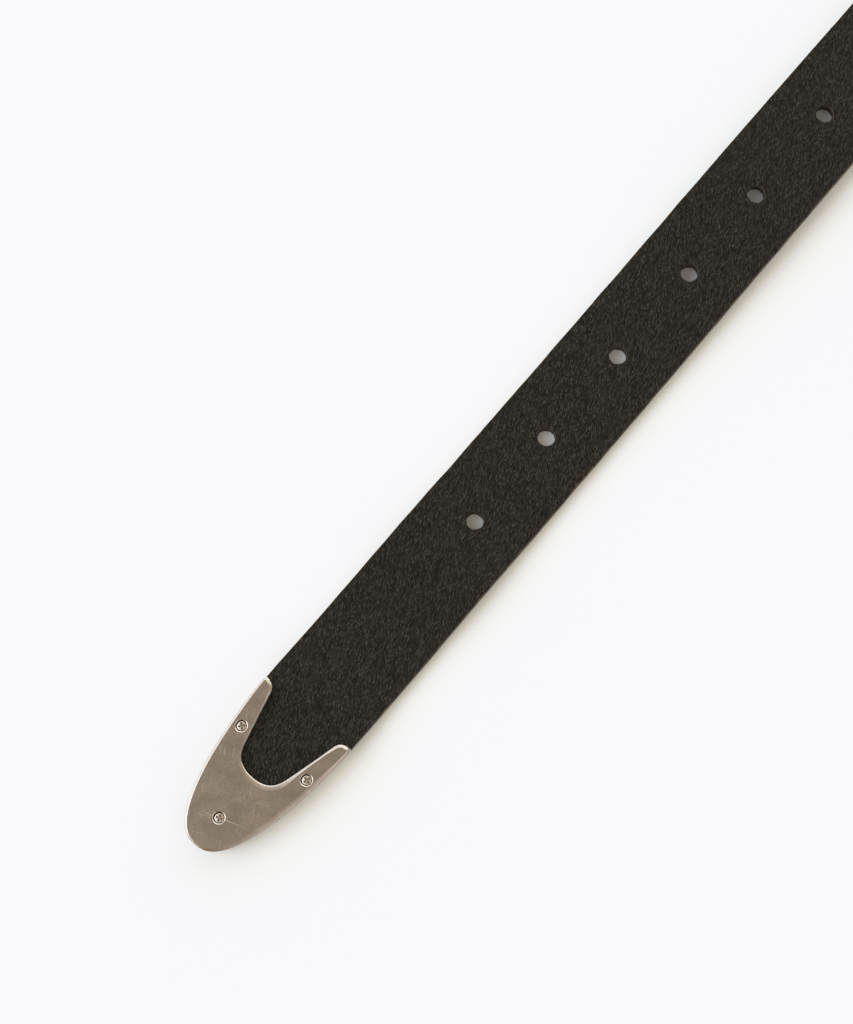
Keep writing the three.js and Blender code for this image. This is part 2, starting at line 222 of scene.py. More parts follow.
def napped_leather():
    """Black dyed leather, its flesh side buffed to a short nap: dull, with the nap's fibres all
    lying one way, painted pale as the glint of the fibres that catch the light"""
    material, shader, tree = finish_of(
        "black_napped_leather", Roughness=0.95, Specular_IOR_Level=0.15,
    )
    flat = flat_millimetres(tree)
    lay = math.radians(24)
    # The lay swirls a little, in patches about 7 mm across
    swirl = add(tree, "TexNoise", {"Vector": flat, "Scale": 1 / 7, "Detail": 1}).outputs["Color"]
    swirl = add(tree, "VectorMath", {0: swirl, 1: (0.5, 0.5, 0.5)}, operation="SUBTRACT").outputs[0]
    swirled = add(tree, "VectorMath", {
        0: swirl, 1: (2.2, 2.2, 0), 2: flat,
    }, operation="MULTIPLY_ADD").outputs[0]

    def fibres(turn, length, width, seed):
        """Short fibres, each its own cell drawn out along the lay, painted pale as the glint of
        those that catch the light, some bright and most faint. They are drawn several times wider
        than real ones, as the tufts that show."""
        placed = add(tree, "Mapping", {
            "Vector": swirled,
            "Location": (seed, seed, 0),
            "Rotation": (0, 0, lay + math.radians(turn)),
            "Scale": (length, width, 1),
        }, vector_type="TEXTURE").outputs[0]
        # Cells lie in rows: each fibre is moved its own way along, so that no row shows
        spot = add(tree, "SeparateXYZ", {0: placed}).outputs
        moved = add(tree, "TexNoise", {
            "W": spot["Y"], "Scale": 0.9, "Detail": 0,
        }, noise_dimensions="1D").outputs["Fac"]
        along = add(tree, "Math", {
            0: moved, 1: 4, 2: spot["X"],
        }, operation="MULTIPLY_ADD").outputs[0]
        placed = add(tree, "CombineXYZ", {0: along, 1: spot["Y"]}).outputs[0]
        cells = add(tree, "TexVoronoi", {"Vector": placed, "Scale": 1}, voronoi_dimensions="2D")
        fibre = add(tree, "MapRange", {
            "Value": cells.outputs["Distance"], "From Min": 0.36, "From Max": 0.06,
        }).outputs[0]
        chance = add(tree, "SeparateXYZ", {0: cells.outputs["Color"]}).outputs[0]
        bright = add(tree, "Math", {0: chance, 1: 2.5}, operation="POWER").outputs[0]
        return add(tree, "Math", {0: fibre, 1: bright}, operation="MULTIPLY").outputs[0]

    nap = fibres(0, 1.6, 0.32, 0)
    for turn, length, width, seed in ((15, 1.1, 0.27, 31), (-13, 1.3, 0.3, 57)):
        other = fibres(turn, length, width, seed)
        nap = add(tree, "Math", {0: nap, 1: other}, operation="MAXIMUM").outputs[0]
    speckle = add(tree, "TexNoise", {"Vector": flat, "Scale": 3, "Detail": 2}).outputs["Fac"]
    ground = add(tree, "MixRGB", {
        "Fac": speckle, "Color1": hex_colour("#030202"), "Color2": hex_colour("#1c1813"),
    }).outputs[0]
    # The pale fibres over the dark ground are painted glint, where fibres catch the light
    colour = add(tree, "MixRGB", {
        "Fac": nap, "Color1": ground, "Color2": hex_colour("#58544d"),
    }).outputs[0]
    tree.links.new(colour, shader.inputs["Base Color"])
    bump = add(tree, "Bump", {"Strength": 0.6, "Distance": 0.08 * MM, "Height": nap})
    tree.links.new(bump.outputs[0], shader.inputs["Normal"])
    return material


def grain_leather():
    """Black dyed leather, its grain side rolled smooth and waxed: fine pebbles under a low gloss"""
    material, shader, tree = finish_of("black_grain_leather", Roughness=0.45)
    flat = flat_millimetres(tree)
    pebbles = add(tree, "TexVoronoi", {"Vector": flat, "Scale": 1 / 0.7}).outputs["Distance"]
    creases = add(tree, "TexNoise", {"Vector": flat, "Scale": 1 / 3, "Detail": 4}).outputs["Fac"]
    height = add(tree, "MixRGB", {"Fac": 0.4, "Color1": pebbles, "Color2": creases}).outputs[0]
    bump = add(tree, "Bump", {"Strength": 0.5, "Distance": 0.06 * MM, "Height": height})
    tree.links.new(bump.outputs[0], shader.inputs["Normal"])
    colour = add(tree, "MixRGB", {
        "Fac": creases, "Color1": hex_colour("#171513"), "Color2": hex_colour("#292623"),
    }).outputs[0]
    tree.links.new(colour, shader.inputs["Base Color"])
    return material


def cut_edge():
    """The leather's knife-cut edge, dyed dark brown and burnished: the tan core shows in a thin
    worn line along the arris of the nap side, though not in the holes"""
    material, shader, tree = finish_of(
        "burnished_leather_edge", Roughness=0.6, Specular_IOR_Level=0.3,
    )
    flat = flat_millimetres(tree)
    place = add(tree, "SeparateXYZ", {0: flat})
    height = place.outputs["Z"]
    across = add(tree, "Math", {0: place.outputs["Y"]}, operation="ABSOLUTE").outputs[0]
    outside = add(tree, "Math", {0: across, 1: WIDTH / 2 - 3}, operation="GREATER_THAN").outputs[0]
    along = add(tree, "Mapping", {"Vector": flat, "Scale": (0.25, 0.25, 1.2)}).outputs[0]
    worn = add(tree, "TexNoise", {"Vector": along, "Scale": 1, "Detail": 3}).outputs["Fac"]
    arris = add(tree, "MapRange", {"Value": height, "From Min": 1.0, "From Max": 1.15}).outputs[0]
    arris = add(tree, "Math", {0: arris, 1: outside}, operation="MULTIPLY").outputs[0]
    bare = add(tree, "MapRange", {"Value": worn, "From Min": 0.35, "From Max": 0.6}).outputs[0]
    bare = add(tree, "Math", {0: arris, 1: bare}, operation="MULTIPLY").outputs[0]
    dyed = add(tree, "MixRGB", {
        "Fac": worn, "Color1": hex_colour("#17110d"), "Color2": hex_colour("#2f231a"),
    }).outputs[0]
    colour = add(tree, "MixRGB", {
        "Fac": bare, "Color1": dyed, "Color2": hex_colour("#69543d"),
    }).outputs[0]
    tree.links.new(colour, shader.inputs["Base Color"])
    bump = add(tree, "Bump", {"Strength": 0.5, "Distance": 0.08 * MM, "Height": worn})
    tree.links.new(bump.outputs[0], shader.inputs["Normal"])
    return material


def satin_nickel():
    """Cast zinc alloy under nickel plate, tumbled to a satin: warm grey, soft reflections, a few
    hairline scratches"""
    material, shader, tree = finish_of("satin_nickel_plate", Metallic=1)
    place = belt_millimetres(tree)
    clouds = add(tree, "TexNoise", {"Vector": place, "Scale": 1 / 5, "Detail": 3}).outputs["Fac"]
    grit = add(tree, "TexNoise", {"Vector": place, "Scale": 1 / 0.35, "Detail": 2}).outputs["Fac"]
    mottle = add(tree, "Math", {0: clouds, 1: grit}, operation="MULTIPLY").outputs[0]
    mottle = add(tree, "MapRange", {"Value": mottle, "From Min": 0.15, "From Max": 0.36}).outputs[0]
    plate = add(tree, "MixRGB", {
        "Fac": mottle, "Color1": hex_colour("#948b84"), "Color2": hex_colour("#a49a93"),
    }).outputs[0]

    def marks(turn, length, width, share, seed):
        """Marks on a few of many cells, each drawn out to a length and width"""
        placed = add(tree, "Mapping", {
            "Vector": place, "Location": (seed, seed, 0),
            "Rotation": (0, 0, math.radians(turn)), "Scale": (length, width, 1.5),
        }, vector_type="TEXTURE").outputs[0]
        cells = add(tree, "TexVoronoi", {"Vector": placed, "Scale": 1})
        core = add(tree, "MapRange", {
            "Value": cells.outputs["Distance"], "From Min": 0.4, "From Max": 0.2,
        }).outputs[0]
        chance = add(tree, "SeparateXYZ", {0: cells.outputs["Color"]}).outputs[0]
        chosen = add(tree, "Math", {0: chance, 1: share}, operation="LESS_THAN").outputs[0]
        return add(tree, "Math", {0: core, 1: chosen}, operation="MULTIPLY").outputs[0]

    # Hairlines are drawn 0.2 mm wide, coarser than the real ones, so that they show
    scuffs = marks(35, 5, 0.2, 0.04, 0)
    for turn, length, width, share, seed in ((-62, 7, 0.2, 0.03, 23), (8, 0.35, 0.35, 0.03, 41)):
        other = marks(turn, length, width, share, seed)
        scuffs = add(tree, "Math", {0: scuffs, 1: other}, operation="MAXIMUM").outputs[0]
    # One long hairline runs slantwise past the screw at the nose
    along = add(tree, "Mapping", {
        "Vector": place, "Location": (NOSE / MM + 9.7, -1.5, 0),
        "Rotation": (0, 0, math.radians(-70)), "Scale": (7, 0.12, 1),
    }, vector_type="TEXTURE").outputs[0]
    off = add(tree, "VectorMath", {0: along, 1: (1, 1, 0)}, operation="MULTIPLY").outputs[0]
    off = add(tree, "VectorMath", {0: off}, operation="LENGTH").outputs["Value"]
    hairline = add(tree, "MapRange", {"Value": off, "From Min": 1, "From Max": 0.6}).outputs[0]
    scuffs = add(tree, "Math", {0: scuffs, 1: hairline}, operation="MAXIMUM").outputs[0]
    faint = add(tree, "Math", {0: scuffs, 1: 0.4}, operation="MULTIPLY").outputs[0]
    colour = add(tree, "MixRGB", {
        "Fac": faint, "Color1": plate, "Color2": hex_colour("#d8cec0"),
    }).outputs[0]
    tree.links.new(colour, shader.inputs["Base Color"])
    dullness = add(tree, "MapRange", {"Value": grit, "To Min": 0.32, "To Max": 0.42}).outputs[0]
    dullness = add(tree, "Math", {
        0: scuffs, 1: 0.15, 2: dullness,
    }, operation="MULTIPLY_ADD").outputs[0]
    tree.links.new(dullness, shader.inputs["Roughness"])
    bump = add(tree, "Bump", {"Strength": 0.3, "Distance": 0.01 * MM, "Height": grit})
    tree.links.new(bump.outputs[0], shader.inputs["Normal"])
    return material


def bright_nickel():
    """Turned steel screws under bright nickel: crisp small highlights, a little tarnish"""
    material, shader, tree = finish_of("bright_nickel_plate", Metallic=1)
    place = belt_millimetres(tree)
    tarnish = add(tree, "TexNoise", {"Vector": place, "Scale": 1 / 0.8, "Detail": 3}).outputs["Fac"]
    colour = add(tree, "MixRGB", {
        "Fac": tarnish, "Color1": hex_colour("#d2c9c2"), "Color2": hex_colour("#b5aaa1"),
    }).outputs[0]
    tree.links.new(colour, shader.inputs["Base Color"])
    dullness = add(tree, "MapRange", {"Value": tarnish, "To Min": 0.3, "To Max": 0.45}).outputs[0]
    tree.links.new(dullness, shader.inputs["Roughness"])
    return material


def painted_recess_shade():
    """Painted shade for the screw wells and cross recesses: nearly black, dull"""
    material, shader, tree = finish_of("painted_recess_shade", Roughness=0.8)
    place = belt_millimetres(tree)
    shade_mottle = add(tree, "TexNoise", {"Vector": place, "Scale": 1 / 0.3, "Detail": 2}).outputs["Fac"]
    colour = add(tree, "MixRGB", {
        "Fac": shade_mottle, "Color1": hex_colour("#15110d"), "Color2": hex_colour("#3a3028"),
    }).outputs[0]
    tree.links.new(colour, shader.inputs["Base Color"])
    return material


def waxed_thread():
    """Black polyester thread, twisted and waxed: a fine slanting twist with a low shine"""
    material, shader, tree = finish_of("black_waxed_thread", Roughness=0.4)
    place = belt_millimetres(tree)
    slant = math.radians(30)
    turned = add(tree, "Mapping", {"Vector": place, "Rotation": (0, 0, slant)}).outputs[0]
    twist = add(tree, "TexWave", {
        "Vector": turned, "Scale": 1 / 0.5, "Distortion": 0.3,
    }).outputs["Fac"]
    colour = add(tree, "MixRGB", {
        "Fac": twist, "Color1": hex_colour("#141211"), "Color2": hex_colour("#383430"),
    }).outputs[0]
    tree.links.new(colour, shader.inputs["Base Color"])
    return material


def paper():
    """A matt white paper sweep"""
    material, shader, tree = finish_of("matt_white_paper", Roughness=1, Specular_IOR_Level=0)
    place = add(tree, "TexCoord").outputs["Object"]
    fibre = add(tree, "TexNoise", {"Vector": place, "Scale": 3, "Detail": 1}).outputs["Fac"]
    colour = add(tree, "MixRGB", {
        "Fac": fibre, "Color1": hex_colour("#e5e7eb"), "Color2": hex_colour("#e7e9ec"),
    }).outputs[0]
    tree.links.new(colour, shader.inputs["Base Color"])
    return material


NAP = napped_leather()
GRAIN = grain_leather()
EDGE = cut_edge()
SATIN = satin_nickel()
BRIGHT = bright_nickel()
RECESS_SHADE = painted_recess_shade()
THREAD = waxed_thread()


# Shaping


def drawn(bm, points, closed=True):
    """A line of edges through points at height zero"""
    corners = [bm.verts.new((x, y, 0)) for x, y in points]
    ends = corners[1:] + corners[:1] if closed else corners[1:]
    return [bm.edges.new(pair) for pair in zip(corners, ends)]


def raised(bm, faces, by):
    """Extrudes faces and moves what is new by a vector. Returns the new vertices."""
    made = bmesh.ops.extrude_face_region(bm, geom=faces)["geom"]
    verts = [v for v in made if isinstance(v, bmesh.types.BMVert)]
    bmesh.ops.translate(bm, verts=verts, vec=by)
    return verts


def walled(bm, edges):
    """Extrudes edges where they are. Returns the new vertices, the edges between them and the
    walls."""
    made = bmesh.ops.extrude_edge_only(bm, edges=edges)["geom"]
    verts = [v for v in made if isinstance(v, bmesh.types.BMVert)]
    ends = [
        e for e in made if isinstance(e, bmesh.types.BMEdge) and all(v in verts for v in e.verts)
    ]
    return verts, ends, [f for f in made if isinstance(f, bmesh.types.BMFace)]


def carried(bm, edges, vec):
    """Extrudes edges by a vector. Returns the edges at the far end."""
    verts, ends, _ = walled(bm, edges)
    bmesh.ops.translate(bm, verts=verts, vec=vec)
    return ends


def rounded(bm, edges, width, segments=4):
    """Rounds edges over"""
    bmesh.ops.bevel(
        bm, geom=edges, offset=width, segments=segments,
        affect="EDGES", profile=0.5, material=-1, clamp_overlap=True,
    )


def cornered(bm, verts, radius, segments):
    """Rounds the corners of a flat outline"""
    bmesh.ops.bevel(
        bm, geom=verts, offset=radius, segments=segments,
        affect="VERTICES", profile=0.5, material=-1,
    )


def set_on_belt(name, bm, materials, replaces=True, crease=30):
    """Makes the finished piece, in metres in the shared frame, and lets it ride with the belt"""
    bmesh.ops.transform(bm, matrix=TO_FRAME, verts=bm.verts)
    for edge in bm.edges:
        edge.smooth = edge.smooth and edge.calc_face_angle(0) < math.radians(crease)
    for face in bm.faces:
        face.smooth = True
    mesh = bpy.data.meshes.new(name)
    bm.to_mesh(mesh)
    bm.free()
    for material in materials:
        mesh.materials.append(material)
    piece = bpy.data.objects.new(name + "_made" if replaces else name, mesh)
    bpy.context.collection.objects.link(piece)
    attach(piece, "root")
    if replaces:
        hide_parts(name)
    return piece


# Strap


def underside(u):
    """How high the strap's underside lies above the table"""
    for (start, low), (end, high) in zip(LIFTS, LIFTS[1:]):
        if u <= end:
            return mix(low, high, smooth((u - start) / (end - start)))
    return LIFTS[-1][1]


def leather_middle(s):
    """Where the middle of the leather runs, seen from the side, at s along the flat strap"""
    if s <= BAR:
        return Vector((s, underside(s) + THICK / 2))
    if s <= BAR + FOLD:
        angle = (s - BAR) / LOOP
        return Vector((BAR + LOOP * math.sin(angle), BAR_HEIGHT - LOOP * math.cos(angle)))
    back = s - BAR - FOLD
    resting = underside(BAR - back) + THICK * 1.5 + APART
    closing = smooth(back / FLAP_CLOSES)
    return Vector((BAR - back, mix(BAR_HEIGHT + LOOP, resting, closing)))


def bent(flat):
    """Takes a spot of the flat strap to where it lies on the belt"""
    s, y, t = flat
    near = 0.05
    along = (leather_middle(s + near) - leather_middle(s - near)).normalized()
    middle = leather_middle(s)
    return Vector((middle.x - along.y * t, y, middle.y + along.x * t))


def nose_points(inset, straight_to, steps=56):
    """The nose in plan: an ellipse with powers of its own, run on straight at both sides"""
    half = WIDTH / 2 - inset
    points = [(straight_to, -half)]
    power_along, power_across = NOSE_POWERS
    for k in range(steps + 1):
        angle = mix(-QUARTER, QUARTER, k / steps)
        along = math.cos(angle) ** (2 / power_along) if abs(angle) < QUARTER else 0
        across = math.copysign(abs(math.sin(angle)) ** (2 / power_across), angle)
        points.append((TIP_LENGTH - (TIP_LENGTH - inset) * along, half * across))
    return points + [(straight_to, half)]


def cuts_across():
    """Where the flat strap is crossed with cuts, close together where it bends, and none that
    grazes a hole"""
    for start, end, step in (
        (46, 400, 3), (400, 996, 12), (996, BAR, 2),
        (BAR, BAR + FOLD, 0.5), (BAR + FOLD, FLAP_END, 1.5),
    ):
        count = round((end - start) / step)
        for k in range(count):
            cut = mix(start, end, k / count)
            if all(abs(abs(cut - u) - HOLE_RADIUS) > GRAZING for u, _ in HOLES):
                yield cut


def make_strap():
    """One sheet of leather, cut and punched flat, given its thickness and its worn arrises, and
    then bent to how it lies"""
    bm = bmesh.new()
    flat_layer = bm.verts.layers.float_vector.new("flat")
    shoulder = HORN_END + APART
    half = WIDTH / 2
    nose = nose_points(TIP_SHEET + APART, shoulder)
    drawn(bm, [(shoulder, half), (FLAP_END, half), (FLAP_END, -half), (shoulder, -half), *nose])
    cornered(bm, [v for v in bm.verts if abs(v.co.x - FLAP_END) < 0.01], FLAP_CORNER, segments=8)
    for u, y in HOLES:
        rim = bmesh.ops.create_circle(
            bm, segments=64, radius=HOLE_RADIUS, matrix=Matrix.Translation((u, y, 0)),
        )["verts"]
        for v in rim:
            ragged = noise.noise(v.co / 1.1) + 0.7 * noise.noise(v.co / 0.35)
            v.co += (v.co - Vector((u, y, 0))) / HOLE_RADIUS * HOLE_STRAYS * ragged
    start, end = BAR - SLOT_REACH, BAR + FOLD + SLOT_REACH
    side = SLOT_WIDTH / 2
    slot = drawn(bm, [(start, -side), (end, -side), (end, side), (start, side)])
    cornered(bm, list({v for e in slot for v in e.verts}), side - 0.05, segments=6)
    bmesh.ops.remove_doubles(bm, verts=bm.verts, dist=0.01)
    bmesh.ops.triangle_fill(bm, use_beauty=True, use_dissolve=False, edges=bm.edges)
    for cut in cuts_across():
        near = [
            f for f in bm.faces
            if min(v.co.x for v in f.verts) < cut < max(v.co.x for v in f.verts)
        ]
        parts = {*near, *(e for f in near for e in f.edges), *(v for f in near for v in f.verts)}
        bmesh.ops.bisect_plane(
            bm, geom=list(parts), plane_co=(cut, 0, 0), plane_no=(1, 0, 0), dist=1e-4,
        )
    bmesh.ops.dissolve_degenerate(bm, dist=0.05, edges=bm.edges)
    # Between two cuts the leather is one face, or one on either side of a hole, so that it shades
    # evenly
    slanting = [
        e for e in bm.edges
        if len(e.link_faces) == 2 and abs(e.verts[0].co.x - e.verts[1].co.x) > 1e-3
    ]
    bmesh.ops.dissolve_edges(bm, edges=slanting, use_verts=False)
    spare = [v for v in bm.verts if len(v.link_edges) == 2 and not v.is_boundary]
    bmesh.ops.dissolve_verts(bm, verts=spare)
    for v in bm.verts:
        if abs(abs(v.co.y) - half) < 1e-3:
            v.co.y += EDGE_STRAYS * noise.noise((v.co.x / 9, v.co.y, 0))
    bmesh.ops.recalc_face_normals(bm, faces=bm.faces)
    if sum(f.normal.z for f in bm.faces) < 0:
        bmesh.ops.reverse_faces(bm, faces=bm.faces)
    raised(bm, list(bm.faces), (0, 0, -THICK))
    bmesh.ops.recalc_face_normals(bm, faces=bm.faces)
    bmesh.ops.translate(bm, verts=bm.verts, vec=(0, 0, THICK / 2))
    for face in bm.faces:
        face.material_index = 2
    # Each side gets a narrow rim, which slopes down to the cut edge
    walls = [f for f in bm.faces if len({v.co.z > 0 for v in f.verts}) == 2]
    for sign, index, rim, drop in ((1, 0, NAP_RIM, NAP_DROP), (-1, 1, GRAIN_RIM, GRAIN_DROP)):
        side_faces = [f for f in bm.faces if all(v.co.z * sign > 0 for v in f.verts)]
        for face in side_faces:
            face.material_index = index
        made = bmesh.ops.inset_region(
            bm, faces=side_faces, thickness=rim, use_boundary=True, use_even_offset=True,
        )["faces"]
        for face in made:
            face.material_index = 2
        arris = {v for f in walls for v in f.verts if v.co.z * sign > 0}
        bmesh.ops.translate(bm, verts=list(arris), vec=(0, 0, -sign * drop))
    for v in bm.verts:
        v[flat_layer] = v.co
        v.co = bent(v.co)
    return set_on_belt("strap", bm, [NAP, GRAIN, EDGE], crease=35)


# Tip


def mouth_points(steps=14):
    """The U of the tip in plan, from the end of one horn to the end of the other"""
    # Each straight side runs from the shoulder of the round bottom to where the horn turns out
    shoulder = Vector((28.5, 7.4, 0))
    turn_out = 42.2
    inner = Vector((turn_out, shoulder.y + (turn_out - shoulder.x) * math.tan(MOUTH_FLARE), 0))
    end = Vector((HORN_END, WALL_END, 0))
    bend = Vector((HORN_END, inner.y + 0.6, 0))
    horn = interpolate_bezier(end, end.lerp(bend, 2 / 3), inner.lerp(bend, 2 / 3), inner, steps)
    bottom = Vector((MOUTH_BOTTOM, 0, 0))
    pull = shoulder - 3.2 * Vector((math.cos(MOUTH_FLARE), math.sin(MOUTH_FLARE), 0))
    belly = interpolate_bezier(shoulder, pull, bottom + Vector((0, 5, 0)), bottom, 2 * steps)
    sides = [inner.lerp(shoulder, k / 6) for k in range(1, 6)]
    left = [(p.x, p.y) for p in [*horn, *sides, *belly]]
    return left + [(x, -y) for x, y in reversed(left[:-1])]


def horn_corner(side, steps=6):
    """The rounded outer corner of a horn"""
    for k in range(1, steps):
        angle = QUARTER * (1 - k / steps)
        yield (TIP_LENGTH + math.cos(angle), side * (WALL_END + math.sin(angle)))


def make_tip():
    """A cast cap: a front plate and a back plate joined by a wall, with a U open through both"""
    bm = bmesh.new()
    outer = nose_points(0, TIP_LENGTH)[1:-1]
    mouth = mouth_points()
    points = [*outer, *horn_corner(1), *mouth, *reversed(list(horn_corner(-1)))]
    bmesh.ops.contextual_create(bm, geom=drawn(bm, points))
    bmesh.ops.recalc_face_normals(bm, faces=bm.faces)
    raised(bm, list(bm.faces), (0, 0, TIP_HEIGHT))
    bmesh.ops.recalc_face_normals(bm, faces=bm.faces)
    # The walls of the U and the horns' ends are open, so that the sheet can take the strap
    in_mouth = {(round(x, 3), round(y, 3)) for x, y in mouth}
    open_walls = [
        f for f in bm.faces
        if abs(f.normal.z) < 0.5
        and all((round(v.co.x, 3), round(v.co.y, 3)) in in_mouth for v in f.verts)
    ]
    bmesh.ops.delete(bm, geom=open_walls, context="FACES")
    bmesh.ops.solidify(bm, geom=bm.faces, thickness=TIP_SHEET)
    bmesh.ops.recalc_face_normals(bm, faces=bm.faces)
    soften_tip(bm, points, mouth)
    sink_wells(bm)
    return set_on_belt("tip", bm, [SATIN, RECESS_SHADE])


def soften_tip(bm, outline, mouth):
    """Rounds the tip's outer edges and the lip of the U, leans its walls, then draws the edges of
    the top in to the widths and the flatter slope they were polished to"""
    level = [
        f for f in bm.faces if abs(f.normal.z) > 0.9
        and min(abs(f.calc_center_median().z - height) for height in (0, TIP_HEIGHT)) < 0.01
    ]
    rounded(bm, list({e for f in level for e in f.edges}), TIP_ROUND, segments=4)
    # Where the lip passes the end of a wall, the bevel throws a corner out. It is put back on the
    # horn's end.
    for v in bm.verts:
        if abs(v.co.y) > WIDTH / 2 + 0.01:
            v.co.xy = (HORN_END - 0.04, math.copysign(WALL_END, v.co.y))
    # The walls lean in towards the back plate, as cast ones do
    low = [v for v in bm.verts if v.co.z < TIP_ROUND + 0.01]
    bmesh.ops.scale(bm, verts=low, vec=TIP_LEAN, space=Matrix.Translation((-TIP_LENGTH, 0, 0)))
    corners = [Vector(spot) for spot in outline]
    lip = {Vector(spot).freeze() for spot in mouth}
    spans = [
        (start, end, lip_width if start.freeze() in lip and end.freeze() in lip else edge_width)
        for start, end in zip(corners, corners[1:] + corners[:1])
    ]
    for v in bm.verts:
        below = TIP_HEIGHT - v.co.z
        if below > TIP_ROUND + 0.01:
            continue
        feet = [(nearest_on(v.co.xy, start, end), width) for start, end, width in spans]
        foot, width = min(feet, key=lambda found: (found[0] - v.co.xy).length)
        away = v.co.xy - foot
        share = away.length / TIP_ROUND
        if share < 1.1:
            v.co.xy = foot + away * width(*foot) / TIP_ROUND
            v.co.z = TIP_HEIGHT - mix(below, TIP_ROUND * max(1 - share, 0), TIP_SLOPE)


def nearest_on(spot, start, end):
    """The spot of a stretch of the outline that lies nearest"""
    _, share = intersect_point_line(spot, start, end)
    return start.lerp(end, min(max(share, 0), 1))


def lip_width(u, y):
    """The lip of the U is wide round its bottom, narrows along both horns, sooner on the left, and
    widens again at their ends"""
    bottom, end = 1.35, 0.85
    start, reach, horn = (MOUTH_BOTTOM, 2.2, 0.45) if y > 0 else (24.5, 10, 0.6)
    along = mix(bottom, horn, smooth((u - start) / reach))
    return mix(along, end, smooth((u - 40) / 4))


def edge_width(u, y):
    """The outer edge is polished widest along the right side, and least at the nose"""
    nose, left, right, end = 0.45, 0.7, 1.2, 0.5
    along = mix(nose, left if y > 0 else right, smooth(abs(y) / 9))
    return mix(along, end, smooth((u - 30) / (HORN_END - 30)))


def sink_wells(bm):
    """Countersinks the top plate for screws: a bright ring sloping to a well painted as shade"""
    level = [f for f in bm.faces if f.normal.z > 0.99]
    top = max(level, key=lambda f: (round(f.calc_center_median().z, 1), f.calc_area()))
    border = list(top.edges)
    for edge in border:
        edge.smooth = False
    bmesh.ops.delete(bm, geom=[top], context="FACES_ONLY")
    rims = [
        bmesh.ops.create_circle(
            bm, segments=40, radius=RING_RADIUS, matrix=Matrix.Translation((u, y, TIP_HEIGHT)),
        )["verts"]
        for _, u, y, _ in SCREWS
    ]
    circles = [list({e for v in rim for e in v.link_edges}) for rim in rims]
    bmesh.ops.triangle_fill(
        bm, use_beauty=True, use_dissolve=False, edges=border + [e for c in circles for e in c],
        normal=(0, 0, 1),
    )
    for rim, circle in zip(rims, circles):
        around = {f for v in rim for f in v.link_faces}
        discs = [f for f in around if all(v in rim for v in f.verts)]
        bmesh.ops.delete(bm, geom=discs, context="FACES_ONLY")
        for edge in circle:
            edge.smooth = False
        low = circle
        for drop in (RING_DROP, WELL_DEEP):
            low, walls = let_down(bm, low, WELL_RADIUS, drop)
        floor = bmesh.ops.contextual_create(bm, geom=low)["faces"]
        # The well's walls and floor are painted nearly black, as the shade round a screw's head
        for face in walls + floor:
            face.material_index = 1
    bmesh.ops.recalc_face_normals(bm, faces=bm.faces)


def let_down(bm, ring, radius, drop):
    """Draws new walls from a round ring of edges to another radius, lower by the drop from the
    tip's top. Returns the low ring and the walls."""
    low, edges, walls = walled(bm, ring)
    middle = sum((v.co for v in low), Vector()) / len(low)
    grow = radius / (low[0].co - middle).length
    bmesh.ops.scale(bm, vec=(grow, grow, 1), space=Matrix.Translation(-middle), verts=low)
    bmesh.ops.translate(bm, verts=low, vec=(0, 0, TIP_HEIGHT - drop - middle.z))
    return edges, walls


def make_screw(name, u, y, turn):
    """A small countersunk screw with a cross recess"""
    bm = bmesh.new()
    arm = [(RECESS_REACH, -RECESS_HALF), (RECESS_REACH, RECESS_HALF), (RECESS_HALF, RECESS_HALF)]
    cross = []
    for _ in range(4):
        cross += arm
        arm = [(-across, along) for along, across in arm]
    recess = drawn(bm, cross)
    rim = bmesh.ops.create_circle(bm, segments=40, radius=HEAD_FACE)["verts"]
    border = [e for v in rim for e in v.link_edges]
    bmesh.ops.triangle_fill(
        bm, use_beauty=True, use_dissolve=False, edges=list({*recess, *border}), normal=(0, 0, 1),
    )
    for v in bm.verts:
        v.co.z = HEAD_CROWN * (1 - (v.co.xy.length / HEAD_FACE) ** 2)
    inside = [
        f for f in bm.faces
        if all(max(abs(v.co.x), abs(v.co.y)) <= RECESS_REACH + 1e-4 for v in f.verts)
        and not any(v in rim for v in f.verts)
        and min(abs(f.calc_center_median().x), abs(f.calc_center_median().y)) < RECESS_HALF
    ]
    bmesh.ops.delete(bm, geom=inside, context="FACES_ONLY")
    low, bottom, walls = walled(bm, recess)
    bmesh.ops.translate(bm, verts=low, vec=(0, 0, -RECESS_DEEP))
    bmesh.ops.scale(bm, vec=(RECESS_TAPER, RECESS_TAPER, 1), verts=low)
    # The walls of the cross are painted nearly black, as shade; its floor keeps the bright nickel
    for face in walls:
        face.material_index = 1
    for face in bmesh.ops.contextual_create(bm, geom=bottom)["faces"]:
        face.material_index = 0
    ring = [e for e in bm.edges if all(v in rim for v in e.verts)]
    for radius, height in SCREW_RINGS:
        verts, ring, _ = walled(bm, ring)
        now = verts[0].co.xy.length
        bmesh.ops.scale(bm, vec=(radius / now, radius / now, 1), verts=verts)
        bmesh.ops.translate(bm, verts=verts, vec=(0, 0, height - verts[0].co.z))
    bmesh.ops.contextual_create(bm, geom=ring)
    bmesh.ops.recalc_face_normals(bm, faces=bm.faces)
    bmesh.ops.rotate(bm, verts=bm.verts, matrix=Matrix.Rotation(math.radians(turn), 3, "Z"))
    bmesh.ops.translate(bm, verts=bm.verts, vec=(u, y - HEAD_ASIDE, SCREW_TOP))
    return set_on_belt(name, bm, [BRIGHT, RECESS_SHADE])


# Keeper and stitches


